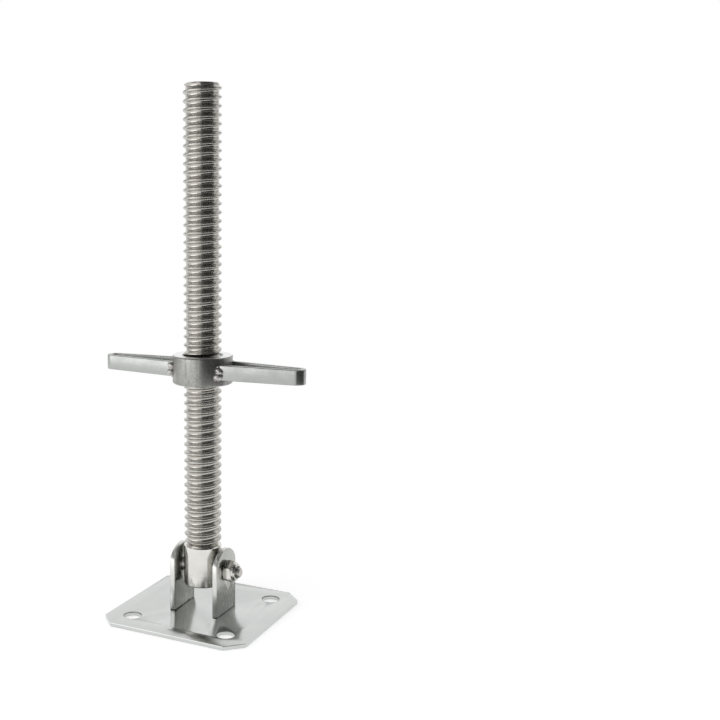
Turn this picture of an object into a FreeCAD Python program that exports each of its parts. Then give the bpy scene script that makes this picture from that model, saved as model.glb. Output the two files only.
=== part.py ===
import FreeCAD, Part
import math
import os

# Scaffold base jack with a swivelling foot. A solid threaded spindle stands between
# two ears on a square plate and swings on a cross bolt. A thick round nut with two
# long loop handles runs on the thread and carries the scaffold leg.
# Millimetres, +Z up. The origin is on the spindle's axis at the underside of the plate.
# +X runs along the cross bolt towards its nut, +Y along the width of the ears.

V = FreeCAD.Vector
Y_AXIS = V(0, 1, 0)
Z_AXIS = V(0, 0, 1)

# Base plate
plate_side = 150.0
plate_thickness = 4.0
plate_corner_cut = 15.5
plate_edge_break = 0.5
plate_hole_diameter = 17.0
plate_hole_spacing = 100.0

# Ears, which stand in slots of the plate
lug_gap = 41.0
lug_width = 40.0
lug_thickness = 5.0
lug_crown_radius = 21.6
tenon_width = 24.0
tenon_clearance = 0.1

# Cross bolt and the height of its axis
pin_height = 45.7
bolt_diameter = 12.0
bolt_length = 66.4
bolt_end_chamfer = 1.0
bolt_head_diameter = 25.0
bolt_head_height = 6.0
bolt_head_rim = 1.5
bolt_head_bevel = 5.0
bolt_neck_length = 4.0
bolt_clearance = 0.1

# Lock nut on the cross bolt, with a nylon ring in its rolled collar
nut_across_flats = 19.0
nut_hex_height = 8.9
nut_height = 12.0
nut_face_inset = 0.3
nut_chamfer_angle = 30.0
nut_collar_diameter = 16.6
nut_collar_bevel = 1.2
nut_clearance = 0.05
ring_wall = 1.4
ring_height = 2.2
ring_lip = 0.5
ring_clearance = 0.05

# Spindle: plain below, threaded above
spindle_length = 474.5
spindle_below_pin = 16.2
spindle_plain_length = 39.5
spindle_plain_diameter = 36.5
spindle_foot_round = 1.2
spindle_shoulder_chamfer = 0.8
spindle_top_chamfer = 2.1

# Thread of the spindle: one start, right-handed
thread_diameter = 36.0
thread_pitch = 8.0
thread_depth = 2.7
thread_crest_width = 1.2
thread_relief_width = 1.2
thread_relief_depth = 0.3
thread_crest_drop = 5.1

# Round adjusting nut
collar_diameter = 57.0
collar_height = 27.0
collar_above_shoulder = 158.4
collar_edge_chamfer = 1.0
collar_bore_chamfer = 1.4
collar_clearance = 0.3

# Loop handles of flat bar and the weld beads that hold them
bar_height = 14.2
bar_thickness = 4.5
bar_edge_break = 0.6
handle_reach = 105.0
handle_spread = 31.0
bend_inner_radius = 4.0
weld_gap = 0.3
weld_radius = 4.0
weld_inset = 0.5

# Places that follow from the sizes
lug_outer_x = lug_gap / 2 + lug_thickness
spindle_bottom = pin_height - spindle_below_pin
spindle_top = spindle_bottom + spindle_length
shoulder_height = spindle_bottom + spindle_plain_length
crest_radius = thread_diameter / 2
root_radius = crest_radius - thread_depth
collar_radius = collar_diameter / 2
collar_bottom = shoulder_height + collar_above_shoulder
bar_bottom = collar_bottom + (collar_height - bar_height) / 2
weld_face_radius = collar_radius + weld_gap


def turned(profile):
    """Solid of revolution about Z of a closed profile of (radius, height) points."""
    points = [V(radius, 0, height) for radius, height in profile]
    outline = Part.makePolygon(points + points[:1])
    return Part.Face(outline).revolve(V(0, 0, 0), Z_AXIS, 360)


def on_bolt_axis(shape, start):
    """Lay a piece that was made along Z on the bolt's axis, its base at X = start."""
    laid = shape.copy()
    laid.rotate(V(0, 0, 0), Y_AXIS, 90)
    laid.translate(V(start, 0, pin_height))
    return laid


def level_edges(shape):
    """Edges that lie flat, at one height."""
    return [edge for edge in shape.Edges if edge.BoundBox.ZLength < 0.01]


def base_plate():
    """Square plate with cropped corners, four fixing holes and a slot for each ear."""
    half = plate_side / 2
    flat = half - plate_corner_cut
    corners = []
    for quarter in range(4):
        turn = FreeCAD.Rotation(Z_AXIS, 90 * quarter)
        corners.append(turn.multVec(V(half, -flat, 0)))
        corners.append(turn.multVec(V(half, flat, 0)))
    outline = Part.makePolygon(corners + corners[:1])
    plate = Part.Face(outline).extrude(V(0, 0, plate_thickness))
    plate = plate.makeChamfer(plate_edge_break, level_edges(plate))
    reach = plate_hole_spacing / 2
    for x in (-reach, reach):
        for y in (-reach, reach):
            plate = plate.cut(Part.makeCylinder(plate_hole_diameter / 2, plate_thickness, V(x, y, 0)))
    slot_length = lug_thickness + 2 * tenon_clearance
    slot_width = tenon_width + 2 * tenon_clearance
    for inner_x in (lug_gap / 2, -lug_outer_x):
        corner = V(inner_x - tenon_clearance, -slot_width / 2, 0)
        plate = plate.cut(Part.makeBox(slot_length, slot_width, plate_thickness, corner))
    return plate


def lug_blank(inner_x):
    """Ear: straight sides, a crown round about the pin and a tenon through the plate."""
    half = lug_width / 2
    half_tenon = tenon_width / 2
    bend = pin_height + math.sqrt(lug_crown_radius ** 2 - half ** 2)
    foot = plate_thickness
    left_bend = V(inner_x, -half, bend)
    right_bend = V(inner_x, half, bend)
    crown = Part.Arc(left_bend, V(inner_x, 0, pin_height + lug_crown_radius), right_bend)
    rest = [
        right_bend,
        V(inner_x, half, foot),
        V(inner_x, half_tenon, foot),
        V(inner_x, half_tenon, 0),
        V(inner_x, -half_tenon, 0),
        V(inner_x, -half_tenon, foot),
        V(inner_x, -half, foot),
        left_bend,
    ]
    outline = Part.Wire([crown.toShape()] + Part.makePolygon(rest).Edges)
    return Part.Face(outline).extrude(V(lug_thickness, 0, 0))


def lug_right():
    """Ear on the nut's side, with a round hole for the bolt."""
    hole = Part.makeCylinder(bolt_diameter / 2 + bolt_clearance, lug_thickness)
    return lug_blank(lug_gap / 2).cut(on_bolt_axis(hole, lug_gap / 2))


def lug_left():
    """Ear on the head's side, with a square hole that keeps the bolt from turning."""
    side = bolt_diameter + 2 * bolt_clearance
    hole = Part.makeBox(side, side, lug_thickness, V(-side / 2, -side / 2, 0))
    return lug_blank(-lug_outer_x).cut(on_bolt_axis(hole, -lug_outer_x))


def pivot_bolt():
    """Bolt with a low round head and a short square neck, made along Z from its head."""
    radius = bolt_diameter / 2
    head_radius = bolt_head_diameter / 2
    crown_radius = head_radius - bolt_head_bevel
    turning = turned([
        (0, -bolt_head_height),
        (crown_radius, -bolt_head_height),
        (head_radius, -bolt_head_rim),
        (head_radius, 0),
        (radius, 0),
        (radius, bolt_length - bolt_end_chamfer),
        (radius - bolt_end_chamfer, bolt_length),
        (0, bolt_length),
    ])
    neck = Part.makeBox(bolt_diameter, bolt_diameter, bolt_neck_length, V(-radius, -radius, 0))
    return on_bolt_axis(turning.fuse(neck), -lug_outer_x)


def lock_nut():
    """Hexagon nut, chamfered at its free end, with a round collar rolled over the ring."""
    corner = nut_across_flats / math.sqrt(3)
    corners = []
    for step in range(7):
        angle = math.radians(60 * step)
        corners.append(V(corner * math.cos(angle), corner * math.sin(angle), 0))
    prism = Part.Face(Part.makePolygon(corners)).extrude(V(0, 0, nut_hex_height))
    face_radius = nut_across_flats / 2 - nut_face_inset
    wide = corner + 1
    drop = (wide - face_radius) * math.tan(math.radians(nut_chamfer_angle))
    barrel = turned([
        (0, 0),
        (wide, 0),
        (wide, nut_hex_height - drop),
        (face_radius, nut_hex_height),
        (0, nut_hex_height),
    ])
    collar_outer = nut_collar_diameter / 2
    collar = turned([
        (0, nut_hex_height / 2),
        (collar_outer, nut_hex_height / 2),
        (collar_outer, nut_height - nut_collar_bevel),
        (collar_outer - nut_collar_bevel, nut_height),
        (0, nut_height),
    ])
    bore_radius = bolt_diameter / 2 + nut_clearance
    pocket_radius = bore_radius + ring_wall + ring_clearance
    mouth_radius = bore_radius + ring_wall / 2
    pocket_base = ring_base() - ring_clearance
    hollow = turned([
        (0, 0),
        (bore_radius, 0),
        (bore_radius, pocket_base),
        (pocket_radius, pocket_base),
        (pocket_radius, nut_height - ring_lip),
        (mouth_radius, nut_height - ring_lip),
        (mouth_radius, nut_height),
        (0, nut_height),
    ])
    return on_bolt_axis(prism.common(barrel).fuse(collar).cut(hollow), lug_outer_x)


def ring_base():
    """Distance of the nylon ring from the nut's seat."""
    return nut_height - ring_lip - ring_clearance - ring_height


def lock_ring():
    """Nylon ring that grips the bolt inside the lock nut's collar."""
    inner = bolt_diameter / 2 + nut_clearance
    ring = turned([
        (inner, ring_base()),
        (inner + ring_wall, ring_base()),
        (inner + ring_wall, ring_base() + ring_height),
        (inner, ring_base() + ring_height),
    ])
    return on_bolt_axis(ring, lug_outer_x)


def helix_edge(radius, height):
    """One full turn of a right-handed helix about Z, from angle 0 at the height given."""
    helix = Part.makeHelix(thread_pitch, thread_pitch, radius)
    helix.translate(V(0, 0, height))
    return helix.Edges[0]


def thread_profile(base):
    """Section of one turn at angle 0, as (radius, height): the crest's land, then a V."""
    flank = (thread_pitch - thread_crest_width) / 2
    return [
        (crest_radius, base),
        (crest_radius, base + thread_crest_width),
        (root_radius, base + thread_crest_width + flank),
        (crest_radius, base + thread_pitch),
    ]


def thread_turn(base):
    """Faces of one turn: the crest's land and its two flanks, wound from base upwards."""
    edges = [helix_edge(radius, height) for radius, height in thread_profile(base)]
    return [Part.makeRuledSurface(lower, upper) for lower, upper in zip(edges, edges[1:])]


def thread_end(base):
    """Faces that close the winding: a spiral ramp round the axis and its radial step."""
    low = V(0, 0, base)
    high = V(0, 0, base + thread_pitch)
    ramp = Part.makeRuledSurface(Part.makeLine(low, high), helix_edge(crest_radius, base))
    section = [V(radius, 0, height) for radius, height in thread_profile(base)]
    step = Part.Face(Part.makePolygon([low] + section + [high, low]))
    return [ramp, step]


def thread_winding():
    """Threaded bar, longer than needed at both ends, as one sewn helical solid."""
    turns = math.ceil((spindle_top - shoulder_height) / thread_pitch) + 2
    top_crest = spindle_top - thread_crest_drop - thread_crest_width / 2
    base = top_crest + thread_pitch * (1 - turns)
    faces = thread_end(base) + thread_end(base + thread_pitch * turns)
    for turn in range(turns):
        faces += thread_turn(base + thread_pitch * turn)
    shell = Part.makeShell(faces)
    shell.sewShape(0.0001)
    return Part.makeSolid(shell)


def spindle():
    """Bar with a plain foot, a relief under the thread, a bevelled top and a cross hole."""
    relief_radius = root_radius - thread_relief_depth
    relief_top = shoulder_height + thread_relief_width
    wide = crest_radius + 1
    top_radius = crest_radius - spindle_top_chamfer
    envelope = turned([
        (0, shoulder_height - 1),
        (relief_radius, shoulder_height - 1),
        (relief_radius, relief_top),
        (wide, relief_top + wide - relief_radius),
        (wide, spindle_top - wide + top_radius),
        (top_radius, spindle_top),
        (0, spindle_top),
    ])
    foot = Part.makeCylinder(spindle_plain_diameter / 2, spindle_plain_length, V(0, 0, spindle_bottom))
    rims = sorted(level_edges(foot), key=lambda edge: edge.BoundBox.ZMin)
    foot = foot.makeFillet(spindle_foot_round, rims[:1])
    rims = sorted(level_edges(foot), key=lambda edge: edge.BoundBox.ZMin)
    foot = foot.makeChamfer(spindle_shoulder_chamfer, rims[-1:])
    bar = thread_winding().common(envelope).fuse(foot)
    hole_length = spindle_plain_diameter + 2
    hole = Part.makeCylinder(bolt_diameter / 2 + bolt_clearance, hole_length)
    return bar.cut(on_bolt_axis(hole, -hole_length / 2))


def collar_nut():
    """Thick round nut with bevelled rims and a bevelled bore that clears the crests."""
    bore = crest_radius + collar_clearance
    low = collar_bottom
    high = collar_bottom + collar_height
    return turned([
        (bore + collar_bore_chamfer, low),
        (collar_radius - collar_edge_chamfer, low),
        (collar_radius, low + collar_edge_chamfer),
        (collar_radius, high - collar_edge_chamfer),
        (collar_radius - collar_edge_chamfer, high),
        (bore + collar_bore_chamfer, high),
        (bore, high - collar_bore_chamfer),
        (bore, low + collar_bore_chamfer),
    ])


def leg_lines(radius):
    """Where a leg that is tangent to the bend starts, and the way it runs to the collar."""
    outer = bend_inner_radius + bar_thickness
    centre = V(handle_reach - outer, 0, 0)
    run = centre.x - collar_radius
    rise = handle_spread / 2
    lean = math.atan2(rise, run) - math.asin(outer / math.hypot(run, rise))
    start = centre + V(math.sin(lean), math.cos(lean), 0) * radius
    along = V(-math.cos(lean), math.sin(lean), 0)
    return centre, start, along


def loop_prism(radius):
    """Filled loop on the +X side: both legs tangent to a bend of the radius given."""
    centre, start, along = leg_lines(radius)
    end = start + along * (centre.x - collar_radius / 2)
    mirror = [V(point.x, -point.y, 0) for point in (start, end)]
    bend = Part.Arc(start, V(centre.x + radius, 0, 0), mirror[0])
    sides = Part.makePolygon([mirror[0], mirror[1], end, start])
    outline = Part.Wire([bend.toShape()] + sides.Edges)
    prism = Part.Face(outline).extrude(V(0, 0, bar_height))
    prism.translate(V(0, 0, bar_bottom))
    return prism


def collar_space():
    """Room that the handles and beads leave for the round nut."""
    return Part.makeCylinder(weld_face_radius, collar_height, V(0, 0, collar_bottom))


def on_side(shape, side):
    """The shape as made on the +X side, or turned half round for the -X side."""
    placed = shape.copy()
    if side < 0:
        placed.rotate(V(0, 0, 0), Z_AXIS, 180)
    return placed


def handle(side):
    """Flat bar bent on edge into a long loop, its two ends shaped to the round nut."""
    bar = loop_prism(bend_inner_radius + bar_thickness).cut(loop_prism(bend_inner_radius))
    bar = bar.makeChamfer(bar_edge_break, level_edges(bar))
    return on_side(bar.cut(collar_space()), side)


def handle_welds():
    """A quarter-round bead outside each of the four legs, where it meets the nut."""
    outer = loop_prism(bend_inner_radius + bar_thickness)
    centre, start, along = leg_lines(bend_inner_radius + bar_thickness)
    towards = start.dot(along)
    travel = -towards - math.sqrt(towards ** 2 - start.dot(start) + weld_face_radius ** 2)
    corner = start + along * travel
    beads = []
    for y in (-corner.y, corner.y):
        foot = V(corner.x, y, bar_bottom + weld_inset)
        bead = Part.makeCylinder(weld_radius, bar_height - 2 * weld_inset, foot)
        bead = bead.cut(outer).cut(collar_space())
        beads += [on_side(bead, side) for side in (1, -1)]
    return Part.makeCompound(beads)


pieces = {
    "base_plate": base_plate(),
    "lug_left": lug_left(),
    "lug_right": lug_right(),
    "pivot_bolt": pivot_bolt(),
    "lock_nut": lock_nut(),
    "lock_ring": lock_ring(),
    "spindle": spindle(),
    "collar_nut": collar_nut(),
    "handle_left": handle(-1),
    "handle_right": handle(1),
    "handle_welds": handle_welds(),
}

os.makedirs("parts", exist_ok=True)
for name, shape in pieces.items():
    shape.exportStep("parts/" + name + ".step")
    print(name, "solids", len(shape.Solids), "valid", shape.isValid(), "volume", round(shape.Volume))
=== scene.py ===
"""Scaffold base jack with a swivelling foot, dressed for a plain studio picture.

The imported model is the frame. Every visible piece is built here at the frame's own
sizes and rides on the frame's bodies. Sizes are in millimetres until a mesh is handed
to its object, which is in metres. +Z is up and the spindle stands on the Z axis.
"""

import logging
import math
from collections.abc import Callable, Iterable, Sequence
from dataclasses import dataclass, replace
from enum import Enum

import bmesh
import bpy
from mathutils import Matrix, Vector


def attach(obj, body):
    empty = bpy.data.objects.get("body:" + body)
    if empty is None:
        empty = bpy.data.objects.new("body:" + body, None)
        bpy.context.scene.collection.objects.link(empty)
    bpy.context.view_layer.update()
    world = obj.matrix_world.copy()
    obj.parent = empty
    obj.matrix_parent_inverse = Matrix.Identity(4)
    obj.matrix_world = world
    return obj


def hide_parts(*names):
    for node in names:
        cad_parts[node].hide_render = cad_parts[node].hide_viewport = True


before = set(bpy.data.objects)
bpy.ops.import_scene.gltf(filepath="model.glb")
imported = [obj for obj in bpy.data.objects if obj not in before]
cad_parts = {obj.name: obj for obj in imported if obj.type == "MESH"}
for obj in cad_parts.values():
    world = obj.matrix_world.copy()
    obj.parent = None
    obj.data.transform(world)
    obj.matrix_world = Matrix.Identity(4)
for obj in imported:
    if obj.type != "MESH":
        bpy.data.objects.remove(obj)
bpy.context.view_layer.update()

LOG = logging.getLogger("base_jack")
METRES = 0.001

Colour = tuple[float, float, float, float]
Span = tuple[float, float]
Point = tuple[float, float, float]
Outline = Sequence[Span]
Mesh = bmesh.types.BMesh
Socket = bpy.types.NodeSocket
Inputs = dict[str | int, object]

WHITE: Colour = (1.0, 1.0, 1.0, 1.0)
NOISE_SPAN: Span = (0.3, 0.7)
CLOUD_SPAN: Span = (0.35, 0.65)
STREAK_SPAN: Span = (0.5, 0.75)
SPECKLE_SPAN: Span = (0.42, 0.62)
SCUFF: Span = (-0.03, 0.05)

PIN_HEIGHT = 45.7
LUG_OUTER_X = 25.5
SPINDLE_BOTTOM = 29.5
SHOULDER_HEIGHT = 69.0
SPINDLE_TOP = 503.99
CREST_RADIUS = 18.0
COLLAR_BOTTOM = 227.4
COLLAR_HEIGHT = 27.0
COLLAR_MIDDLE = COLLAR_BOTTOM + COLLAR_HEIGHT / 2
COLLAR_TOP = COLLAR_BOTTOM + COLLAR_HEIGHT
COLLAR_RADIUS = 28.5


class Body(Enum):
    """The moving bodies of the frame."""

    FOOT = "foot"
    SPINDLE = "spindle"
    COLLAR = "collar"
    HANDLES = "handles"


class Slot(Enum):
    """The record's material slots."""

    PLATE = "plate"
    FASTENER = "fastener"
    NYLON = "nylon"
    SPINDLE = "spindle"
    COLLAR = "collar"
    HANDLE = "handle"
    WELD = "weld"


class Side(Enum):
    """Which side of the jack a piece is on, as the sign of its X."""

    NUT = 1
    HEAD = -1


class Carve(Enum):
    """What a carving step keeps of the stock."""

    AWAY = "DIFFERENCE"
    COMMON = "INTERSECT"


class Grain(Enum):
    """How finely a surface's marks vary along X, Y and Z, in cycles per metre."""

    UPRIGHT = (450.0, 450.0, 35.0)
    ALONG_BAR = (22.0, 260.0, 1100.0)
    ACROSS_PLATE = (500.0, 22.0, 500.0)
    LEVEL = (60.0, 60.0, 1600.0)
    EVEN = (420.0, 420.0, 420.0)


class NodeBench:
    """Adds and joins the nodes of one material or world."""

    def __init__(self, tree: bpy.types.NodeTree) -> None:
        """Clear the tree and keep it."""
        tree.nodes.clear()
        self.tree = tree

    def add(self, kind: str, inputs: Inputs | None = None, **settings: object) -> bpy.types.Node:
        """Add one node and feed its inputs.

        Args:
            kind: The node's type, without its ShaderNode prefix.
            inputs: What feeds its inputs, by name or number: another node's output, or a
                number, colour or vector.
            settings: Properties of the node to set.

        Returns:
            The new node.
        """
        node = self.tree.nodes.new("ShaderNode" + kind)
        for name, value in settings.items():
            setattr(node, name, value)
        for key, value in (inputs or {}).items():
            if isinstance(value, Socket):
                self.tree.links.new(value, node.inputs[key])
            else:
                node.inputs[key].default_value = value
        return node

    def place(self) -> Socket:
        """The piece's own coordinates, in metres."""
        return self.add("TexCoord").outputs["Object"]

    def noise(self, place: Socket, scale: Sequence[float], detail: float = 2.0) -> Socket:
        """Noise that can be finer along one axis than along another.

        Args:
            place: Where the pattern is read.
            scale: Cycles per metre along X, Y and Z.
            detail: Octaves of finer noise.

        Returns:
            The noise, from 0 to 1.
        """
        scaled = self.add("Mapping", {"Vector": place, "Scale": scale}).outputs["Vector"]
        inputs = {"Vector": scaled, "Scale": 1.0, "Detail": detail, "Roughness": 0.55}
        return self.add("TexNoise", inputs).outputs["Fac"]

    def spread(
        self, value: object, start: float, end: float, low: float = 0.0, high: float = 1.0
    ) -> Socket:
        """Map a value's range from start to end onto low to high, and hold it there."""
        source = {"Value": value, "From Min": start, "From Max": end}
        return self.add("MapRange", source | {"To Min": low, "To Max": high}).outputs["Result"]

    def calculate(self, operation: str, first: object, second: object) -> Socket:
        """One step of arithmetic, by the name of the Math node's operation."""
        return self.add("Math", {0: first, 1: second}, operation=operation).outputs[0]

    def blend(self, amount: object, first: object, second: object) -> Socket:
        """Blend two colours: 0 gives the first and 1 the second."""
        return self.add("Mix", {0: amount, 6: first, 7: second}, data_type="RGBA").outputs[2]

    def radius(self, place: Socket) -> Socket:
        """Distance of a point from the Z axis, in metres."""
        flat = self.add("VectorMath", {0: place, 1: (1.0, 1.0, 0.0)}, operation="MULTIPLY")
        length = self.add("VectorMath", {0: flat.outputs["Vector"]}, operation="LENGTH")
        return length.outputs["Value"]

    def along(self, place: Socket, axis: str) -> Socket:
        """A point's X, Y or Z, in metres."""
        return self.add("SeparateXYZ", {0: place}).outputs[axis]

    def seen_plainly(self) -> Socket:
        """1 for the rays of the camera and of mirrors, 0 for the others."""
        path = self.add("LightPath").outputs
        return self.calculate("MAXIMUM", path["Is Camera Ray"], path["Is Glossy Ray"])

    def relief(self, height: object, depth: float, below: object = None) -> Socket:
        """Bump from a height pattern.

        Args:
            height: The pattern, from 0 to 1.
            depth: How deep the pattern is, in millimetres.
            below: A coarser bump that this one lies on, or None.

        Returns:
            The bent normal.
        """
        inputs = {"Strength": 1.0, "Distance": depth * METRES, "Height": height}
        if below is not None:
            inputs["Normal"] = below
        return self.add("Bump", inputs).outputs["Normal"]

    def close(self, shader: Socket, kind: str = "OutputMaterial") -> None:
        """Join the finished shader to the tree's output."""
        self.add(kind, {"Surface": shader})


def new_material(name: str) -> tuple[bpy.types.Material, NodeBench]:
    """A material of a name, with the bench of its empty tree."""
    material = bpy.data.materials.new(name)
    material.use_nodes = True
    return material, NodeBench(material.node_tree)


def dimmed(colour: Colour, share: float) -> Colour:
    """A colour, dimmed to a share of itself."""
    return tuple(channel * share for channel in colour[:3]) + (1.0,)


@dataclass(frozen=True)
class Finish:
    """What every finish of the jack has: a name, a slot and the two colours it drifts between."""

    name: str
    slot: Slot
    colour: Colour
    drift: Colour

    def dress(self, bench: NodeBench) -> Socket:
        """Build the finish's shader; each kind of finish has its own.

        Args:
            bench: The material's nodes.

        Returns:
            The shader's output.
        """
        raise NotImplementedError

    def material(self) -> bpy.types.Material:
        """The finish as a material, made once and then shared."""
        found = bpy.data.materials.get(self.name)
        if found is not None:
            return found
        material, bench = new_material(self.name)
        material.diffuse_color = self.colour
        bench.close(self.dress(bench))
        return material


@dataclass(frozen=True)
class MetalFinish(Finish):
    """Plated or brushed steel with streaks, soft clouds and fine pits.

    Depths are in millimetres, scales in cycles per metre.
    """

    polish: float
    dullness: float
    grain: Grain
    streak_depth: float
    streak_shade: float
    pit_depth: float
    cloud_scale: float
    streak_strength: float = 0.85
    pit_scale: float = 2600.0
    detail: float = 4.0

    def shade(self, bench: NodeBench, place: Socket, colour: Socket) -> Socket:
        """Last change to the colour before the shader; plain metal has none.

        Args:
            bench: The material's nodes.
            place: The piece's coordinates.
            colour: The colour so far.

        Returns:
            The colour to use.
        """
        return colour

    def dress(self, bench: NodeBench) -> Socket:
        """Build the metal."""
        place = bench.place()
        clouds = bench.noise(place, (self.cloud_scale,) * 3, self.detail)
        streaks = bench.noise(place, self.grain.value, self.detail)
        pits = bench.noise(place, (self.pit_scale,) * 3)
        tinted = bench.blend(bench.spread(clouds, *CLOUD_SPAN), self.colour, self.drift)
        darker = dimmed(self.colour, 1.0 - self.streak_shade)
        strength = bench.spread(streaks, *STREAK_SPAN, high=self.streak_strength)
        streaked = bench.blend(strength, tinted, darker)
        worn = bench.spread(clouds, *NOISE_SPAN, self.polish, self.dullness)
        scuffed = bench.spread(streaks, *NOISE_SPAN, *SCUFF)
        fine = bench.relief(pits, self.pit_depth)
        shader = bench.add("BsdfPrincipled", {
            "Metallic": 1.0,
            "Base Color": self.shade(bench, place, streaked),
            "Roughness": bench.calculate("ADD", worn, scuffed),
            "Normal": bench.relief(streaks, self.streak_depth, fine),
        })
        return shader.outputs["BSDF"]


@dataclass(frozen=True)
class ThreadFinish(MetalFinish):
    """Rolled thread whose roots carry painted shade, darker than the worn crests.

    Radii are in millimetres. The painted shade ends at a share of the way from the roots to the
    crests.
    """

    # The roots' colour is painted shade in the thread's hollows; the lighter crests stand for
    # wear.
    root: Colour = (0.52, 0.5, 0.465, 1.0)
    root_radius: float = 15.4
    shade_share: float = 0.6

    def shade(self, bench: NodeBench, place: Socket, colour: Socket) -> Socket:
        """Paint shade into the roots by their distance from the axis."""
        shade_end = self.root_radius + self.shade_share * (CREST_RADIUS - self.root_radius)
        span = (self.root_radius * METRES, shade_end * METRES)
        return bench.blend(bench.spread(bench.radius(place), *span), self.root, colour)


@dataclass(frozen=True)
class FaceLitFinish(MetalFinish):
    """Turned steel with a mottled side and painted highlight on its two end faces.

    Heights are in millimetres, the scale is in cycles per metre.
    """

    speckle_scale: float = 650.0
    speckle_strength: float = 0.55
    speckle_share: float = 0.6
    # The face colour is painted highlight for the two end faces, found by the heights below.
    face: Colour = (0.93, 0.935, 0.94, 1.0)
    low: float = COLLAR_BOTTOM + 0.25
    high: float = COLLAR_TOP - 0.25

    def shade(self, bench: NodeBench, place: Socket, colour: Socket) -> Socket:
        """Mottle the side and paint highlight on the two end faces, found by their height."""
        mottle = bench.noise(place, (self.speckle_scale,) * 3)
        speckle = bench.spread(mottle, *SPECKLE_SPAN, high=self.speckle_strength)
        colour = bench.blend(speckle, colour, dimmed(self.colour, self.speckle_share))
        height = bench.along(place, "Z")
        above = bench.calculate("GREATER_THAN", height, self.high * METRES)
        below = bench.calculate("LESS_THAN", height, self.low * METRES)
        return bench.blend(bench.calculate("ADD", above, below), colour, self.face)


@dataclass(frozen=True)
class ShadedEarFinish(MetalFinish):
    """Plated ear with painted shade: its flat faces are painted darker than its edges, and a
    painted contact shadow runs where the piece meets the plate.

    Sizes are in millimetres: the top of the painted contact shadow, and the span of X that the
    edges take up.
    """

    # A painted contact shadow at the foot, then the edges' colour, painted lighter than the shaded
    # faces.
    contact_shade: Colour = (0.09, 0.09, 0.085, 1.0)
    contact_shade_top: float = 4.55
    edge: Colour = (0.67, 0.67, 0.645, 1.0)
    edge_start: float = 20.75
    edge_end: float = 25.25

    def shade(self, bench: NodeBench, place: Socket, colour: Socket) -> Socket:
        """Paint the edges lighter than the shaded faces, and paint a contact shadow at the foot of
        the piece.
        """
        across = bench.calculate("ABSOLUTE", bench.along(place, "X"), 0.0)
        past = bench.calculate("GREATER_THAN", across, self.edge_start * METRES)
        short = bench.calculate("LESS_THAN", across, self.edge_end * METRES)
        edge_lit = bench.blend(bench.calculate("MULTIPLY", past, short), colour, self.edge)
        below = bench.calculate("LESS_THAN", bench.along(place, "Z"), self.contact_shade_top * METRES)
        return bench.blend(below, edge_lit, self.contact_shade)


@dataclass(frozen=True)
class RimShadedFinish(MetalFinish):
    """Plated plate with painted dark reflections on the rims round its four holes. Sizes are in
    millimetres.
    """

    # The rim colour is a painted dark reflection on the holes' bevelled edges.
    rim: Colour = (0.2, 0.2, 0.19, 1.0)
    rim_radius: float = 9.0
    rim_height: float = 3.6
    hole_place: float = 50.0

    def shade(self, bench: NodeBench, place: Socket, colour: Socket) -> Socket:
        """Paint dark reflections on the rims of the holes."""
        quarter = bench.add("VectorMath", {0: place}, operation="ABSOLUTE").outputs["Vector"]
        hole = (self.hole_place * METRES,) * 2 + (0.0,)
        shifted = bench.add("VectorMath", {0: quarter, 1: hole}, operation="SUBTRACT")
        distance = bench.radius(shifted.outputs["Vector"])
        near = bench.calculate("LESS_THAN", distance, self.rim_radius * METRES)
        height = bench.along(place, "Z")
        high = bench.calculate("GREATER_THAN", height, self.rim_height * METRES)
        return bench.blend(bench.calculate("MULTIPLY", near, high), colour, self.rim)


@dataclass(frozen=True)
class NylonFinish(Finish):
    """Moulded nylon with a faint mottle. Its depth is in millimetres."""

    polish: float = 0.38
    dullness: float = 0.52
    mottle_scale: float = 700.0
    mottle_depth: float = 0.02

    def dress(self, bench: NodeBench) -> Socket:
        """Build the nylon."""
        mottle = bench.noise(bench.place(), (self.mottle_scale,) * 3)
        shader = bench.add("BsdfPrincipled", {
            "Base Color": bench.blend(mottle, self.colour, self.drift),
            "Roughness": bench.spread(mottle, *NOISE_SPAN, self.polish, self.dullness),
            "Normal": bench.relief(mottle, self.mottle_depth),
        })
        return shader.outputs["BSDF"]


# Its hole rims carry a painted dark reflection.
ZINC_PLATE = RimShadedFinish(
    "zinc_plate", Slot.PLATE, (0.62, 0.63, 0.62, 1.0), (0.585, 0.61, 0.595, 1.0),
    polish=0.16, dullness=0.24, grain=Grain.ACROSS_PLATE,
    streak_depth=0.0004, streak_shade=0.02, pit_depth=0.0003, cloud_scale=26.0,
)
# Its faces carry painted shade against lighter edges, and its foot a painted contact shadow.
ZINC_EAR = ShadedEarFinish(
    "zinc_ear", Slot.PLATE, (0.47, 0.47, 0.44, 1.0), (0.41, 0.43, 0.4, 1.0),
    polish=0.22, dullness=0.32, grain=Grain.UPRIGHT,
    streak_depth=0.004, streak_shade=0.1, pit_depth=0.003, cloud_scale=60.0,
)
# Its two end faces carry painted highlight.
TURNED_COLLAR = FaceLitFinish(
    "turned_collar", Slot.COLLAR, (0.43, 0.43, 0.41, 1.0), (0.36, 0.365, 0.35, 1.0),
    polish=0.3, dullness=0.4, grain=Grain.UPRIGHT,
    streak_depth=0.006, streak_shade=0.55, pit_depth=0.006, cloud_scale=70.0,
)
DRAWN_BAR = MetalFinish(
    "drawn_bar", Slot.HANDLE, (0.47, 0.48, 0.465, 1.0), (0.41, 0.425, 0.41, 1.0),
    polish=0.24, dullness=0.34, grain=Grain.ALONG_BAR,
    streak_depth=0.012, streak_shade=0.16, pit_depth=0.006, cloud_scale=60.0,
)
PLATED_FASTENER = MetalFinish(
    "plated_fastener", Slot.FASTENER, (0.78, 0.765, 0.73, 1.0), (0.68, 0.665, 0.63, 1.0),
    polish=0.18, dullness=0.26, grain=Grain.EVEN,
    streak_depth=0.001, streak_shade=0.12, pit_depth=0.0004, cloud_scale=150.0,
)
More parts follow.
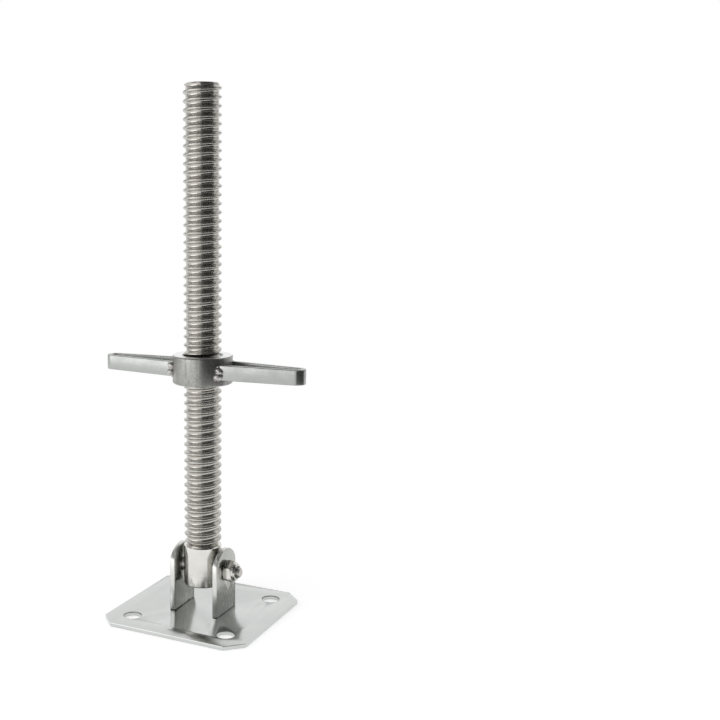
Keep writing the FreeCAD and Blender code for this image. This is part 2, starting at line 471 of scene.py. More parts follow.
PLATED_BOLT = replace(
    PLATED_FASTENER, name="plated_bolt", colour=(0.62, 0.6, 0.57, 1.0),
    drift=(0.52, 0.5, 0.47, 1.0), polish=0.34, dullness=0.42,
)
SMOOTH_END = MetalFinish(
    "smooth_end", Slot.SPINDLE, (0.77, 0.755, 0.72, 1.0), (0.71, 0.695, 0.66, 1.0),
    polish=0.16, dullness=0.24, grain=Grain.LEVEL,
    streak_depth=0.0015, streak_shade=0.08, pit_depth=0.0006, cloud_scale=70.0,
)
# Its roots carry painted shade.
ROLLED_THREAD = ThreadFinish(
    "rolled_thread", Slot.SPINDLE, (0.55, 0.54, 0.505, 1.0), (0.48, 0.465, 0.43, 1.0),
    polish=0.2, dullness=0.27, grain=Grain.EVEN,
    streak_depth=0.0003, streak_shade=0.12, pit_depth=0.0, cloud_scale=90.0,
)
WELD_METAL = MetalFinish(
    "weld_metal", Slot.WELD, (0.5, 0.485, 0.47, 1.0), (0.63, 0.6, 0.58, 1.0),
    polish=0.34, dullness=0.48, grain=Grain.EVEN,
    streak_depth=0.02, streak_shade=0.2, pit_depth=0.006, cloud_scale=260.0,
)
NYLON = NylonFinish("dark_nylon", Slot.NYLON, (0.035, 0.04, 0.05, 1.0), (0.06, 0.065, 0.075, 1.0))


def settle(bm: Mesh, reach: float = 0.001) -> None:
    """Merge points that are nearer than a reach and turn every face outwards."""
    bmesh.ops.remove_doubles(bm, verts=bm.verts[:], dist=reach)
    bmesh.ops.recalc_face_normals(bm, faces=bm.faces[:])


def turned(profile: Outline, steps: int = 96) -> Mesh:
    """Turn a profile about Z.

    Args:
        profile: Corners as (radius, height). It is closed on itself, unless it starts and
            ends on the axis.
        steps: Facets round the axis.

    Returns:
        The turned solid.
    """
    bm = bmesh.new()
    rim = [bm.verts.new((radius, 0.0, height)) for radius, height in profile]
    on_axis = profile[0][0] == profile[-1][0] == 0.0
    pairs = zip(rim, rim[1:] if on_axis else rim[1:] + rim[:1])
    edges = [bm.edges.new(pair) for pair in pairs]
    bmesh.ops.spin(bm, geom=rim + edges, cent=(0, 0, 0), axis=(0, 0, 1), dvec=(0, 0, 0),
                   angle=math.tau, steps=steps, use_merge=True)
    settle(bm)
    return bm


def drill(radius: float, length: float, middle: Point = (0, 0, 0), steps: int = 64) -> Mesh:
    """A round cutter that stands along Z, by its size, its middle and the facets round it."""
    bm = bmesh.new()
    bmesh.ops.create_cone(bm, cap_ends=True, segments=steps, radius1=radius, radius2=radius,
                          depth=length, matrix=Matrix.Translation(middle))
    return bm


def block(size: Sequence[float], middle: Sequence[float]) -> Mesh:
    """A square block, by its length along X, Y and Z and its middle."""
    bm = bmesh.new()
    bmesh.ops.create_cube(bm, size=1.0)
    bmesh.ops.scale(bm, vec=size, verts=bm.verts[:])
    bmesh.ops.translate(bm, vec=middle, verts=bm.verts[:])
    return bm


def as_data(bm: Mesh, name: str) -> bpy.types.Mesh:
    """Turn a mesh into the data of an object. The mesh is used up."""
    data = bpy.data.meshes.new(name)
    bm.to_mesh(data)
    bm.free()
    return data


def linked(name: str, data: bpy.types.ID) -> bpy.types.Object:
    """Make an object of its data and link it to the scene."""
    piece = bpy.data.objects.new(name, data)
    bpy.context.scene.collection.objects.link(piece)
    return piece


def only(kind: type, geometry: Iterable[object]) -> list:
    """The items of one kind among some geometry."""
    return [item for item in geometry if isinstance(item, kind)]


def join(meshes: Iterable[Mesh]) -> Mesh:
    """Put several meshes into one, as separate shells. The meshes are used up."""
    whole = bmesh.new()
    for bm in meshes:
        held = as_data(bm, "held")
        whole.from_mesh(held)
        bpy.data.meshes.remove(held)
    return whole


def moved(bm: Mesh, matrix: Matrix) -> Mesh:
    """Move a mesh to its place and hand it back."""
    bmesh.ops.transform(bm, matrix=matrix, verts=bm.verts[:])
    return bm


def on_bolt_axis(bm: Mesh, start: float) -> Mesh:
    """Lay a mesh that was made along Z on the bolt's axis, its base at X = start."""
    lying = Matrix.Rotation(math.pi / 2, 4, "Y")
    return moved(bm, Matrix.Translation((start, 0, PIN_HEIGHT)) @ lying)


def break_edges(bm: Mesh, width: float, sharper_than: float = 30.0) -> Mesh:
    """Round every edge that is sharper than an angle, with two facets.

    Args:
        bm: The mesh.
        width: Width of the rounding.
        sharper_than: Angle between an edge's faces, in degrees, from which it is rounded.

    Returns:
        The same mesh.
    """
    limit = math.radians(sharper_than)
    paired = (edge for edge in bm.edges if len(edge.link_faces) == 2)
    sharp = [edge for edge in paired if edge.calc_face_angle() > limit]
    bmesh.ops.bevel(bm, geom=sharp, offset=width, offset_type="OFFSET", segments=2, profile=0.5,
                    affect="EDGES", material=-1, clamp_overlap=True)
    return bm


def through_modifier(
    bm: Mesh, kind: str, settings: dict[str, object], tool: Mesh | None = None
) -> Mesh:
    """Put a mesh through one modifier and take the result.

    Args:
        bm: The mesh, which is used up.
        kind: The modifier's type.
        settings: The modifier's properties.
        tool: The mesh the modifier works with, which is used up, or None.

    Returns:
        The changed mesh.
    """
    sources = {"stock": bm, "tool": tool}
    held = [linked(label, as_data(source, label))
            for label, source in sources.items() if source is not None]
    step = held[0].modifiers.new("step", kind)
    for name, value in settings.items():
        setattr(step, name, value)
    if tool is not None:
        step.object = held[1]
    bpy.context.view_layer.update()
    shaped = held[0].evaluated_get(bpy.context.evaluated_depsgraph_get())
    result = bmesh.new()
    result.from_mesh(shaped.to_mesh())
    shaped.to_mesh_clear()
    for piece in held:
        data = piece.data
        bpy.data.objects.remove(piece)
        bpy.data.meshes.remove(data)
    return result


def carved(bm: Mesh, tool: Mesh, keep: Carve = Carve.AWAY) -> Mesh:
    """Carve a solid with another one.

    Args:
        bm: The stock, which is used up.
        tool: The cutter, which is used up.
        keep: What stays of the stock.

    Returns:
        The carved solid.
    """
    bmesh.ops.recalc_face_normals(tool, faces=tool.faces[:])
    result = through_modifier(bm, "BOOLEAN", {"operation": keep.value, "solver": "EXACT"}, tool)
    settle(result)
    return result


@dataclass(frozen=True)
class Winding:
    """One-start right-handed thread about Z, cut off square at both ends.

    Its profile is the half of one ridge, from the crest's middle down to the root, as
    (distance along the axis, radius). The crest is the height of a crest at +X.
    """

    profile: Outline
    pitch: float
    crest: float
    low: float
    high: float
    steps: int = 60

    def ridge(self) -> list[Span]:
        """The profile from one crest to the next one up."""
        rising = [(self.pitch - along, radius) for along, radius in reversed(self.profile)]
        return list(self.profile) + rising[1:]

    def cut(self, limit: Callable[[float], float]) -> Mesh:
        """Wind one turn, repeat it along the axis and close both ends.

        Args:
            limit: Gives the largest radius allowed at a height.

        Returns:
            The threaded bar.
        """
        turns = math.ceil((self.crest - self.low) / self.pitch) + 1
        base = self.crest - self.pitch * turns
        bm = bmesh.new()
        rim = [bm.verts.new((radius, 0.0, base + along)) for along, radius in self.ridge()]
        edges = [bm.edges.new(pair) for pair in zip(rim, rim[1:])]
        climb = (0.0, 0.0, self.pitch / self.steps)
        bmesh.ops.spin(bm, geom=rim + edges, cent=(0, 0, 0), axis=(0, 0, 1), dvec=climb,
                       angle=math.tau, steps=self.steps, use_merge=False)
        reach = self.pitch
        while base + reach < self.high:
            twin = bmesh.ops.duplicate(bm, geom=bm.verts[:] + bm.edges[:] + bm.faces[:])
            fresh = only(bmesh.types.BMVert, twin["geom"])
            bmesh.ops.translate(bm, vec=(0, 0, reach), verts=fresh)
            reach *= 2
        bmesh.ops.remove_doubles(bm, verts=bm.verts[:], dist=self.pitch / 1000)
        for height, facing in ((self.low, -1), (self.high, 1)):
            everything = bm.verts[:] + bm.edges[:] + bm.faces[:]
            bmesh.ops.bisect_plane(bm, geom=everything, dist=0.001, plane_co=(0, 0, height),
                                   plane_no=(0, 0, facing), clear_outer=True)
        for point in bm.verts:
            radius = math.hypot(point.co.x, point.co.y)
            held = min(radius, limit(point.co.z))
            point.co.xy *= held / radius
        bmesh.ops.edgeloop_fill(bm, edges=[edge for edge in bm.edges if edge.is_boundary])
        settle(bm, 0.0005)
        return bm


class Assembly:
    """What every sub-assembly shares: it hands its finished meshes to the frame."""

    def place(
        self,
        bm: Mesh,
        name: str,
        body: Body,
        finish: Finish,
        nodes: Sequence[str],
        crease: float = 32.0,
    ) -> None:
        """Make a mesh an object, dress it and hang it on its body.

        Args:
            bm: The finished mesh in millimetres, which is used up.
            name: The piece's name.
            body: The body it rides on.
            finish: Its finish.
            nodes: The frame's nodes that it stands for.
            crease: Edges sharper than this, in degrees, stay crisp.
        """
        bmesh.ops.scale(bm, vec=(METRES,) * 3, verts=bm.verts[:])
        for face in bm.faces:
            face.smooth = True
        data = as_data(bm, name)
        data.set_sharp_from_angle(angle=math.radians(crease))
        data.materials.append(finish.material())
        piece = linked(name, data)
        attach(piece, body.value)
        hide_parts(*nodes)
        LOG.info("%s: %d faces on %s", name, len(data.polygons), body.value)

    def build(self) -> None:
        """Build and dress every piece; each sub-assembly has its own."""
        raise NotImplementedError


@dataclass
class FootPlate(Assembly):
    """Square plate with cropped corners, four fixing holes and a slot for each ear."""

    side: float = 150.0
    thickness: float = 4.0
    corner_cut: float = 15.5
    edge_round: float = 0.5
    hole_diameter: float = 17.0
    hole_spacing: float = 100.0
    hole_round: float = 0.35
    slot_inner_x: float = 20.4
    slot_length: float = 5.2
    slot_width: float = 24.2

    def blank(self) -> Mesh:
        """The plate before its holes, corners cropped."""
        bm = block((self.side, self.side, self.thickness), (0, 0, self.thickness / 2))
        upright = [edge for edge in bm.edges if edge.verts[0].co.xy == edge.verts[1].co.xy]
        bmesh.ops.bevel(bm, geom=upright, offset=self.corner_cut, offset_type="OFFSET",
                        segments=1, profile=0.5, affect="EDGES", material=-1)
        return break_edges(bm, self.edge_round, sharper_than=60.0)

    def cutters(self) -> Mesh:
        """The four drills and the two slot cutters."""
        half = self.hole_spacing / 2
        through = self.thickness * 3
        places = [(x, y, 0) for x in (-half, half) for y in (-half, half)]
        tools = [drill(self.hole_diameter / 2, through, place, steps=72) for place in places]
        slot = (self.slot_length, self.slot_width, through)
        slot_x = self.slot_inner_x + self.slot_length / 2
        tools += [block(slot, (x, 0, 0)) for x in (-slot_x, slot_x)]
        return join(tools)

    def build(self) -> None:
        """Cut the plate, ease the rims of its holes and place it."""
        bm = carved(self.blank(), self.cutters())
        break_edges(bm, self.hole_round, sharper_than=70.0)
        self.place(bm, "foot_plate", Body.FOOT, ZINC_PLATE, ["base_plate"], crease=25.0)


@dataclass
class Ear(Assembly):
    """Upright ear with a round crown about the cross bolt and a tenon through the plate."""

    side: Side
    node: str
    gap: float = 41.0
    width: float = 40.0
    thickness: float = 5.0
    crown_radius: float = 21.6
    tenon_width: float = 24.0
    foot_height: float = 4.0
    hole_radius: float = 6.1
    edge_round: float = 0.55
    cutter_length: float = 80.0
    cutter_middle: float = 30.0

    def outline(self, x: float) -> Mesh:
        """The ear's outline, as a mesh of one face that stands upright at an X."""
        half, tenon, foot = self.width / 2, self.tenon_width / 2, self.foot_height
        rise = math.sqrt(self.crown_radius**2 - half**2)
        sweep = math.pi - 2 * math.atan2(rise, half)
        bm = bmesh.new()
        shoulder = bm.verts.new((x, half, PIN_HEIGHT + rise))
        bmesh.ops.spin(bm, geom=[shoulder], cent=(x, 0, PIN_HEIGHT), axis=(1, 0, 0),
                       dvec=(0, 0, 0), angle=sweep, steps=40)
        left = [(-half, foot), (-tenon, foot), (-tenon, 0.0)]
        corners = left + [(-y, z) for y, z in reversed(left)]
        bm.faces.new(bm.verts[:] + [bm.verts.new((x, y, z)) for y, z in corners])
        return bm

    def cutter(self) -> Mesh:
        """The bolt's hole: round on the nut's side, square on the head's side."""
        if self.side is Side.NUT:
            middle = (0, 0, self.cutter_middle)
            return on_bolt_axis(drill(self.hole_radius, self.cutter_length, middle), 0.0)
        across = 2 * self.hole_radius
        return block((self.cutter_length, across, across), (-self.cutter_middle, 0, PIN_HEIGHT))

    def build(self) -> None:
        """Raise the outline to its thickness, pierce it, round its edges and place it."""
        inner = self.gap / 2
        bm = self.outline(inner if self.side is Side.NUT else -inner - self.thickness)
        grown = bmesh.ops.extrude_face_region(bm, geom=bm.faces[:])["geom"]
        points = only(bmesh.types.BMVert, grown)
        bmesh.ops.translate(bm, vec=(self.thickness, 0, 0), verts=points)
        settle(bm)
        bm = carved(bm, self.cutter())
        break_edges(bm, self.edge_round, sharper_than=60.0)
        name = "ear_" + self.side.name.lower()
        self.place(bm, name, Body.FOOT, ZINC_EAR, [self.node], crease=25.0)


@dataclass
class CrossBolt(Assembly):
    """Bolt through both ears: low domed head, square neck and a threaded end.

    The head's outline is (radius, height) and the ridge's is (distance from the crest's
    middle, drop below the crest).
    """

    radius: float = 6.0
    length: float = 66.4
    neck: float = 4.0
    neck_clearance: float = 0.05
    neck_round: float = 0.4
    edge_round: float = 0.25
    waist: float = 2.0
    waist_taper: float = 1.0
    waist_drop: float = 0.3
    thread_start: float = 60.0
    thread_overlap: float = 0.5
    thread_radius: float = 4.85
    pitch: float = 1.5
    last_crest: float = 1.4
    ridge: Outline = ((0.0, 0.0), (0.2, 0.04), (0.5, 0.3), (0.75, 0.36))
    head: Outline = (
        (0.0, -6.0), (3.2, -5.95), (6.2, -5.7), (8.6, -5.1),
        (10.6, -4.0), (12.0, -2.6), (12.5, -1.5), (12.5, 0.0),
    )
    end_chamfer: float = 1.0

    def shank(self) -> Mesh:
        """Head and plain shank in one turning."""
        stop = self.thread_start + self.thread_overlap
        slim = self.thread_radius - self.waist_drop
        narrow = stop - self.waist
        shank = [(self.radius, 0.0), (self.radius, narrow - self.waist_taper)]
        profile = [*self.head, *shank, (slim, narrow), (slim, stop), (0.0, stop)]
        return break_edges(turned(profile, steps=64), self.edge_round, sharper_than=50.0)

    def thread(self) -> Mesh:
        """The threaded end, which shows beyond the nut."""
        crest = self.thread_radius
        ridge = [(along, crest - drop) for along, drop in self.ridge]
        top = self.length
        last, low = top - self.last_crest, self.thread_start
        winding = Winding(ridge, self.pitch, last, low, top, steps=48)
        return winding.cut(lambda height: crest - max(0.0, height - top + self.end_chamfer))

    def build(self) -> None:
        """Join head, shank, neck and thread, lay them on the bolt's axis and place them."""
        side = 2 * self.radius - self.neck_clearance
        neck = block((side, side, self.neck), (0, 0, self.neck / 2))
        break_edges(neck, self.neck_round)
        bm = on_bolt_axis(join([self.shank(), neck, self.thread()]), -LUG_OUTER_X)
        self.place(bm, "cross_bolt", Body.FOOT, PLATED_BOLT, ["pivot_bolt"])


@dataclass
class LockNut(Assembly):
    """Hexagon lock nut with a round collar rolled over its nylon ring.

    The roll's outline is (inset from the collar's radius, height) and the lip's is
    (inset from the bore, drop below the top).
    """

    across_flats: float = 19.0
    hex_height: float = 8.9
    face_inset: float = 0.3
    chamfer_angle: float = 30.0
    seat_radius: float = 8.6
    seat_height: float = 0.6
    height: float = 12.0
    bore: float = 6.05
    collar_radius: float = 8.75
    edge_round: float = 0.25
    ring_round: float = 0.2
    ring_inner: float = 4.8
    ring_base: float = 9.25
    ring_height: float = 2.2
    ring_wall: float = 1.4
    roll: Outline = ((0.0, 6.0), (0.0, 9.1), (0.25, 10.2), (0.8, 11.3), (1.2, 11.85), (1.45, 12.0))
    lip: Outline = ((0.1, 0.05), (0.0, 0.3), (0.0, 0.5), (1.4, 0.6))

    def hexagon(self) -> Mesh:
        """The six flats, chamfered at the free end and bored."""
        corner = self.across_flats / math.sqrt(3)
        prism = drill(corner, self.hex_height, (0, 0, self.hex_height / 2), steps=6)
        face, wide = self.across_flats / 2 - self.face_inset, corner + 1
        drop = (wide - face) * math.tan(math.radians(self.chamfer_angle))
        seat, seat_radius, top = self.seat_height, self.seat_radius, self.hex_height
        barrel = turned([(0.0, 0.0), (seat_radius, 0.0), (seat_radius, seat), (face, seat),
                         (wide, seat + drop), (wide, top - drop), (face, top), (0.0, top)])
        bm = moved(carved(prism, barrel, Carve.COMMON), Matrix.Rotation(math.pi / 2, 4, "Z"))
        bm = carved(bm, drill(self.bore, length=40.0))
        return break_edges(bm, self.edge_round, sharper_than=50.0)

    def crimp(self) -> Mesh:
        """The rolled collar, which narrows to its open end."""
        bore, base = self.bore, self.ring_base
        outside = [(self.collar_radius - inset, height) for inset, height in self.roll]
        inside = [(bore + inset, self.height - drop) for inset, drop in self.lip]
        seat = [(bore + self.ring_wall, base), (bore, base)]
        return turned([(bore, outside[0][1]), *outside, *inside, *seat], steps=72)

    def ring(self) -> Mesh:
        """The nylon ring, squeezed against the bolt's slimmer thread."""
        inner, outer = self.ring_inner, self.bore + self.ring_wall
        low, high = self.ring_base, self.ring_base + self.ring_height
        section = [(inner, low), (outer, low), (outer, high), (inner, high)]
        return break_edges(turned(section, steps=64), self.ring_round)

    def build(self) -> None:
        """Place the nut and its ring on the bolt."""
        nut = on_bolt_axis(join([self.hexagon(), self.crimp()]), LUG_OUTER_X)
        self.place(nut, "hex_lock_nut", Body.FOOT, PLATED_FASTENER, ["lock_nut"])
        ring = on_bolt_axis(self.ring(), LUG_OUTER_X)
        self.place(ring, "nylon_ring", Body.FOOT, NYLON, ["lock_ring"])


@dataclass
class Spindle(Assembly):
    """Threaded bar with a smooth lower end that swings on the cross bolt."""

    plain_radius: float = 18.25
    foot_round: float = 1.2
    shoulder_chamfer: float = 0.8
    hole_radius: float = 6.1
    pitch: float = 8.0
    crest_drop: float = 5.1
    let_in: float = 0.5
    ridge: Outline = (
        (0.0, 17.98), (0.4, 17.96), (0.7, 17.85), (1.0, 17.58), (1.3, 17.12), (1.65, 16.55),
        (2.05, 16.05), (2.5, 15.7), (3.0, 15.48), (3.5, 15.37), (4.0, 15.34),
    )
    relief_radius: float = 15.0
    relief_height: float = 1.2
    top_height: float = 4.0
    top_inset: float = 3.4

    def envelope(self, height: float) -> float:
        """The largest radius at a height: relief groove below, bevelled end above."""
        groove = self.relief_radius + max(0.0, height - SHOULDER_HEIGHT - self.relief_height)
        past = max(0.0, height - SPINDLE_TOP + self.top_height) / self.top_height
        return min(groove, CREST_RADIUS - self.top_inset * past**2)

    def thread(self) -> Mesh:
        """The threaded length, let half a millimetre into the smooth end."""
        crest, low = SPINDLE_TOP - self.crest_drop, SHOULDER_HEIGHT - self.let_in
        return Winding(self.ridge, self.pitch, crest, low, SPINDLE_TOP).cut(self.envelope)

    def smooth_end(self) -> Mesh:
        """The smooth end with its rounded foot, bevelled shoulder and cross hole."""
        wide, low, high = self.plain_radius, SPINDLE_BOTTOM, SHOULDER_HEIGHT
        bend, cut = self.foot_round, self.shoulder_chamfer
        steps = 5
        turns = [math.pi / 2 * step / steps for step in range(steps + 1)]
        foot = [(wide - bend * (1 - math.sin(turn)), low + bend * (1 - math.cos(turn)))
                for turn in turns]
        bm = turned([(0.0, low), *foot, (wide, high - cut), (wide - cut, high), (0.0, high)])
        return carved(bm, on_bolt_axis(drill(self.hole_radius, length=60.0), 0.0))

    def build(self) -> None:
        """Place the thread and the smooth end."""
        bar = self.thread()
        self.place(bar, "threaded_bar", Body.SPINDLE, ROLLED_THREAD, ["spindle"], crease=50.0)
        self.place(self.smooth_end(), "smooth_end", Body.SPINDLE, SMOOTH_END, ["spindle"])


@dataclass
class RoundNut(Assembly):
    """Thick round nut that runs on the thread and carries the leg."""

    bore: float = 18.3
    bore_chamfer: float = 1.4
    edge_chamfer: float = 1.0
    edge_round: float = 0.3

    def build(self) -> None:
        """Turn the nut, soften its rims and place it."""
        low, high = COLLAR_BOTTOM, COLLAR_TOP
        wide, bore = COLLAR_RADIUS, self.bore
        edge, lead = self.edge_chamfer, self.bore_chamfer
        mouth, rim = bore + lead, wide - edge
        profile = [(mouth, low), (rim, low), (wide, low + edge), (wide, high - edge),
                   (rim, high), (mouth, high), (bore, high - lead), (bore, low + lead)]
        bm = break_edges(turned(profile, steps=128), self.edge_round)
        self.place(bm, "round_nut", Body.COLLAR, TURNED_COLLAR, ["collar_nut"], crease=24.0)


@dataclass
class LoopHandle(Assembly):
    """Flat bar bent on edge into a long loop whose two legs end on the round nut."""

    side: Side
    node: str
    reach: float = 104.98
    spread: float = 31.0
    bar_height: float = 14.2
    bar_thickness: float = 4.5
    corner_round: float = 0.8
    bend_inner_radius: float = 4.0
    bar_start: float = 21.375
    fit_radius: float = 28.42

    def lines(self) -> tuple[Vector, float]:
        """The bend's centre and how far each leg leans from X."""
        outer = self.bend_inner_radius + self.bar_thickness
        centre = Vector((self.reach - outer, 0, COLLAR_MIDDLE))
        run, rise = centre.x - COLLAR_RADIUS, self.spread / 2
        return centre, math.atan2(rise, run) - math.asin(outer / math.hypot(run, rise))

    def bar(self) -> Mesh:
        """The bar, drawn along one leg, round the bend and back along the other."""
        centre, lean = self.lines()
        outwards = Vector((math.sin(lean), math.cos(lean), 0))
        along = Vector((-math.cos(lean), math.sin(lean), 0))
        length = centre.x - self.bar_start
        mid_radius = self.bend_inner_radius + self.bar_thickness / 2
        start = centre + outwards * mid_radius + along * length
        bm = bmesh.new()
        bmesh.ops.create_grid(bm, x_segments=1, y_segments=1, size=0.5)
        bmesh.ops.scale(bm, vec=(self.bar_thickness, self.bar_height, 1), verts=bm.verts[:])
        bmesh.ops.bevel(bm, geom=bm.verts[:], offset=self.corner_round, offset_type="OFFSET",
                        segments=4, profile=0.5, affect="VERTICES", material=-1)
        across_leg = Matrix((outwards, Vector((0, 0, 1)), -along)).transposed().to_4x4()
        moved(bm, Matrix.Translation(start) @ across_leg)
        face = self.draw(bm, bm.faces[:], -along * length)
        bent = bmesh.ops.spin(bm, geom=face, cent=centre, axis=(0, 0, -1), dvec=(0, 0, 0),
                              angle=math.pi - 2 * lean, steps=28)
        face = only(bmesh.types.BMFace, bent["geom_last"])
        self.draw(bm, face, Vector((along.x, -along.y, 0)) * length)
        settle(bm)
        return bm

    def draw(self, bm: Mesh, face: list, travel: Vector) -> list:
        """Draw the bar's end face further and hand back the new one, each in a list."""
        grown = bmesh.ops.extrude_face_region(bm, geom=face)["geom"]
        bmesh.ops.translate(bm, vec=travel, verts=only(bmesh.types.BMVert, grown))
        return only(bmesh.types.BMFace, grown)

    def build(self) -> None:
        """Shape the legs' ends to the round nut, turn the loop to its side and place it."""
        core = drill(self.fit_radius, 60.0, (0, 0, COLLAR_MIDDLE), steps=192)
        bm = carved(self.bar(), core)
        if self.side is Side.HEAD:
            moved(bm, Matrix.Rotation(math.pi, 4, "Z"))
        name = "loop_handle_" + self.side.name.lower()
        self.place(bm, name, Body.HANDLES, DRAWN_BAR, [self.node], crease=35.0)


@dataclass
class WeldBeads(Assembly):
    """Lumpy beads in the outer corners between the four legs and the round nut.

    A beat is in radians for each lump and each bead.
    """

    corner: Span = (24.9, 15.55)
    wander: Span = (0.7, 0.55)
    low: float = 233.2
    high: float = 247.9
    lump_radius: float = 2.9
    lumps: int = 5
    unevenness: float = 0.28
    first_lump: float = 1.2
    stretch: float = 1.15
    squash: float = 0.85
    tilt: float = 0.5
    wave_beat: Span = (2.3, 1.7)
    swirl_beat: Span = (3.1, 2.9)
    voxel: float = 0.36

    def bead(self, seed: int) -> Mesh:
        """One bead in the corner at +X and +Y. The seed makes each a little different."""
        bm = bmesh.new()
        for lump in range(self.lumps):
            wave = math.sin(self.wave_beat[0] * lump + self.wave_beat[1] * seed)
            swirl = math.cos(self.swirl_beat[0] * lump + self.swirl_beat[1] * seed)
            larger = self.first_lump if lump == 0 else 1.0
            radius = self.lump_radius * (1 + self.unevenness * wave) * larger
            tall = radius * self.squash
            rise = self.low + tall + (self.high - self.low - 2 * tall) * lump / (self.lumps - 1)
            x = self.corner[0] + self.wander[0] * swirl
            y = self.corner[1] + self.wander[1] * wave
            flatten = Matrix.Diagonal((self.stretch, 1.0, self.squash, 1.0))
            lean = Matrix.Rotation(self.tilt * swirl, 4, "Y")
            place = Matrix.Translation((x, y, rise)) @ lean @ flatten
            bmesh.ops.create_icosphere(bm, subdivisions=3, radius=radius, matrix=place)
        bm = through_modifier(bm, "REMESH", {"mode": "VOXEL", "voxel_size": self.voxel})
        for _ in range(2):
            bmesh.ops.smooth_vert(bm, verts=bm.verts[:], factor=0.5,
                                  use_axis_x=True, use_axis_y=True, use_axis_z=True)
        settle(bm)
        return bm

    def build(self) -> None:
        """Make the four beads, each in its own corner, and place them."""
        beads = []
        for seed, (x, y) in enumerate(((1, 1), (1, -1), (-1, 1), (-1, -1))):
            beads.append(moved(self.bead(seed), Matrix.Diagonal((x, y, 1, 1))))
            bmesh.ops.recalc_face_normals(beads[-1], faces=beads[-1].faces[:])
        bm = join(beads)
        self.place(bm, "weld_beads", Body.HANDLES, WELD_METAL, ["handle_welds"], crease=60.0)


@dataclass(frozen=True)
class Card:
    """A bent card round the jack, from one bearing to another, in degrees to the camera's right.

    Its outline is (radius, height) in metres, and its shade is the grey of its cloth.
    """

    name: str
    start: float
    end: float
    outline: Outline
    shade: float


@dataclass(frozen=True)
class Lamp:
    """A soft lamp that faces the jack, in metres and in degrees to the camera's right.

    A radiance of 1 is white, and mirrored says whether metal shows the lamp's face.
    """

    name: str
    bearing: float
    distance: float
    height: float
    size: Span
    radiance: float
    mirrored: bool = True


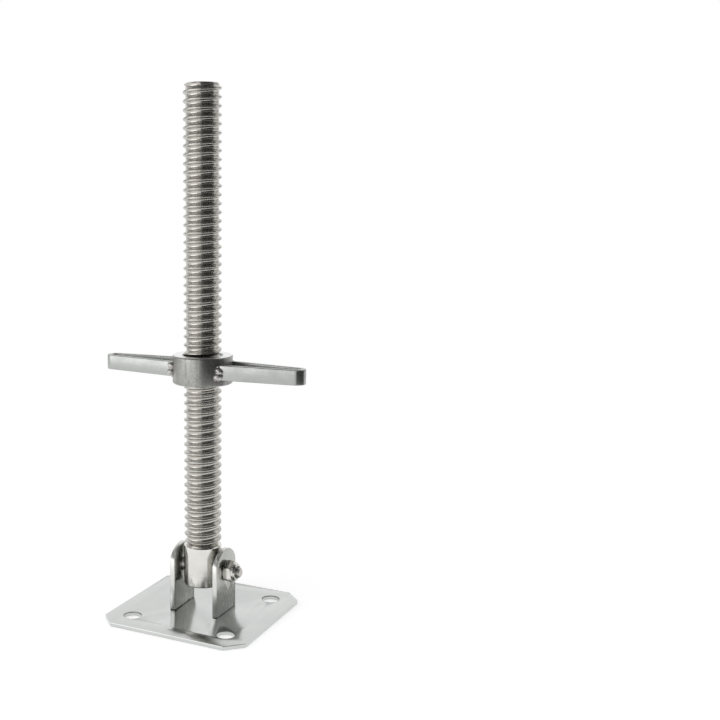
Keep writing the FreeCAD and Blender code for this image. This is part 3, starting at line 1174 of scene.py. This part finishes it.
@dataclass
class Studio:
    """White room for the picture: floor, world, soft lamps, dark cards and the camera.

    Sizes are in metres, angles in degrees. The floor fades to white over a span of radii.
    """

    camera_azimuth: float = 27.94
    camera_place: Point = (0.4787, -0.9026, 0.4112)
    camera_turn: Point = (80.98, 0.05, 27.76)
    lens: float = 54.73
    shift_x: float = 0.214
    room_light: float = 0.6
    floor_radius: float = 6.0
    floor_fill: float = 0.42
    floor_fade: Span = (0.25, 0.8)
    aim_height: float = 0.25
    cards: tuple[Card, ...] = (
        Card("dark_wall", -11.0, 90.0, ((0.55, 0.004), (2.4, 0.004), (2.4, 0.6)), 0.035),
        Card("dim_wall", -11.0, 90.0, ((2.4, 0.6), (2.4, 1.5)), 0.2),
        Card("high_wall", -11.0, 90.0, ((2.4, 1.5), (2.4, 2.6), (0.5, 2.7)), 0.035),
        Card("canopy", -112.0, -11.0, ((2.2, 0.9), (2.2, 2.6)), 0.25),
        Card("roof", 0.0, 360.0, ((0.05, 2.72), (1.9, 2.72)), 0.12),
        Card("grey_wall", 91.0, 140.0, ((2.4, 0.0), (2.4, 1.8)), 0.6),
        Card("edge_flag", -126.0, -117.0, ((2.4, 0.0), (2.4, 2.2)), 0.03),
    )
    lamps: tuple[Lamp, ...] = (
        Lamp("left_lamp", -62.0, 1.9, 0.55, (1.7, 1.05), 1.2),
        Lamp("top_lamp", -20.0, 0.6, 2.3, (1.4, 1.4), 1.5, mirrored=False),
    )

    def build_world(self) -> None:
        """White to the camera and in reflections, softer as a light."""
        world = bpy.data.worlds.new("white_room")
        world.use_nodes = True
        bpy.context.scene.world = world
        bench = NodeBench(world.node_tree)
        clear = bench.add("LightPath").outputs["Is Transmission Ray"]
        seen = bench.calculate("MAXIMUM", bench.seen_plainly(), clear)
        strength = bench.spread(seen, 0.0, 1.0, self.room_light, 1.0)
        background = bench.add("Background", {"Color": WHITE, "Strength": strength})
        bench.close(background.outputs["Background"], "OutputWorld")

    def floor_material(self) -> bpy.types.Material:
        """Pale floor that keeps the shadow near the jack and is white further off."""
        material, bench = new_material("white_floor")
        place = bench.place()
        grain = bench.noise(place, (300.0,) * 3)
        pale = bench.blend(grain, dimmed(WHITE, 0.82), dimmed(WHITE, 0.8))
        matt = bench.add("BsdfDiffuse", {"Color": pale}).outputs[0]
        fill = bench.add("Emission", {"Strength": self.floor_fill}).outputs[0]
        lit = bench.add("AddShader", {0: matt, 1: fill}).outputs[0]
        white = bench.add("Emission", {"Strength": 1.0}).outputs[0]
        far = bench.spread(bench.radius(place), *self.floor_fade)
        faded = bench.calculate("MULTIPLY", far, bench.seen_plainly())
        bench.close(bench.add("MixShader", {0: faded, 1: lit, 2: white}).outputs[0])
        return material

    def cloth(self, card: Card) -> bpy.types.Material:
        """Matt cloth of a card, in its own grey."""
        material, bench = new_material(card.name + "_cloth")
        weave = bench.noise(bench.place(), (60.0,) * 3)
        dark, light = dimmed(WHITE, card.shade), dimmed(WHITE, card.shade * 1.3)
        woven = bench.blend(weave, dark, light)
        bench.close(bench.add("BsdfDiffuse", {"Color": woven}).outputs[0])
        return material

    def stand(self, bm: Mesh, name: str, material: bpy.types.Material) -> bpy.types.Object:
        """Stand a piece of the studio in the scene. Its mesh is in metres and is used up."""
        data = as_data(bm, name)
        data.materials.append(material)
        piece = linked(name, data)
        return piece

    def build_floor(self) -> None:
        """A round floor just under the plate."""
        bm = bmesh.new()
        bmesh.ops.create_circle(bm, cap_ends=True, radius=self.floor_radius, segments=96)
        self.stand(bm, "floor", self.floor_material())

    def place_at(self, bearing: float, distance: float, height: float) -> Point:
        """A place in the room, from its bearing to the camera's right."""
        angle = math.radians(self.camera_azimuth - 90 + bearing)
        return distance * math.cos(angle), distance * math.sin(angle), height

    def hang(self, card: Card) -> None:
        """Hang a bent card that only reflections see."""
        bm = bmesh.new()
        rim = [bm.verts.new(self.place_at(card.start, *corner)) for corner in card.outline]
        edges = [bm.edges.new(pair) for pair in zip(rim, rim[1:])]
        sweep = math.radians(card.end - card.start)
        bmesh.ops.spin(bm, geom=rim + edges, cent=(0, 0, 0), axis=(0, 0, 1), dvec=(0, 0, 0),
                       angle=sweep, steps=24)
        piece = self.stand(bm, card.name, self.cloth(card))
        piece.visible_camera = piece.visible_diffuse = piece.visible_shadow = False

    def light(self, lamp: Lamp) -> None:
        """Hang a lamp and turn it to the jack."""
        data = bpy.data.lights.new(lamp.name, "AREA")
        data.shape = "RECTANGLE"
        data.size, data.size_y = lamp.size
        data.energy = lamp.radiance * math.pi * lamp.size[0] * lamp.size[1]
        piece = linked(lamp.name, data)
        piece.location = self.place_at(lamp.bearing, lamp.distance, lamp.height)
        aim = Vector((0, 0, self.aim_height)) - piece.location
        piece.rotation_euler = aim.to_track_quat("-Z", "Y").to_euler()
        piece.visible_camera = False
        piece.visible_glossy = lamp.mirrored

    def build_camera(self) -> None:
        """The camera at the picture's viewpoint."""
        data = bpy.data.cameras.new("camera")
        data.lens = self.lens
        data.shift_x = self.shift_x
        camera = linked("camera", data)
        camera.location = self.camera_place
        camera.rotation_euler = [math.radians(angle) for angle in self.camera_turn]
        bpy.context.scene.camera = camera

    def build(self) -> None:
        """Set up the whole studio."""
        bpy.context.scene.view_settings.view_transform = "Standard"
        self.build_world()
        self.build_floor()
        for card in self.cards:
            self.hang(card)
        for lamp in self.lamps:
            self.light(lamp)
        self.build_camera()


def main() -> None:
    """Build the jack, then the studio."""
    logging.basicConfig(level=logging.INFO, format="%(name)s: %(message)s")
    jack: list[Assembly] = [
        FootPlate(),
        Ear(Side.HEAD, "lug_left"),
        Ear(Side.NUT, "lug_right"),
        CrossBolt(),
        LockNut(),
        Spindle(),
        RoundNut(),
        LoopHandle(Side.HEAD, "handle_left"),
        LoopHandle(Side.NUT, "handle_right"),
        WeldBeads(),
    ]
    for assembly in jack:
        assembly.build()
    Studio().build()


if __name__ == "__main__":
    main()
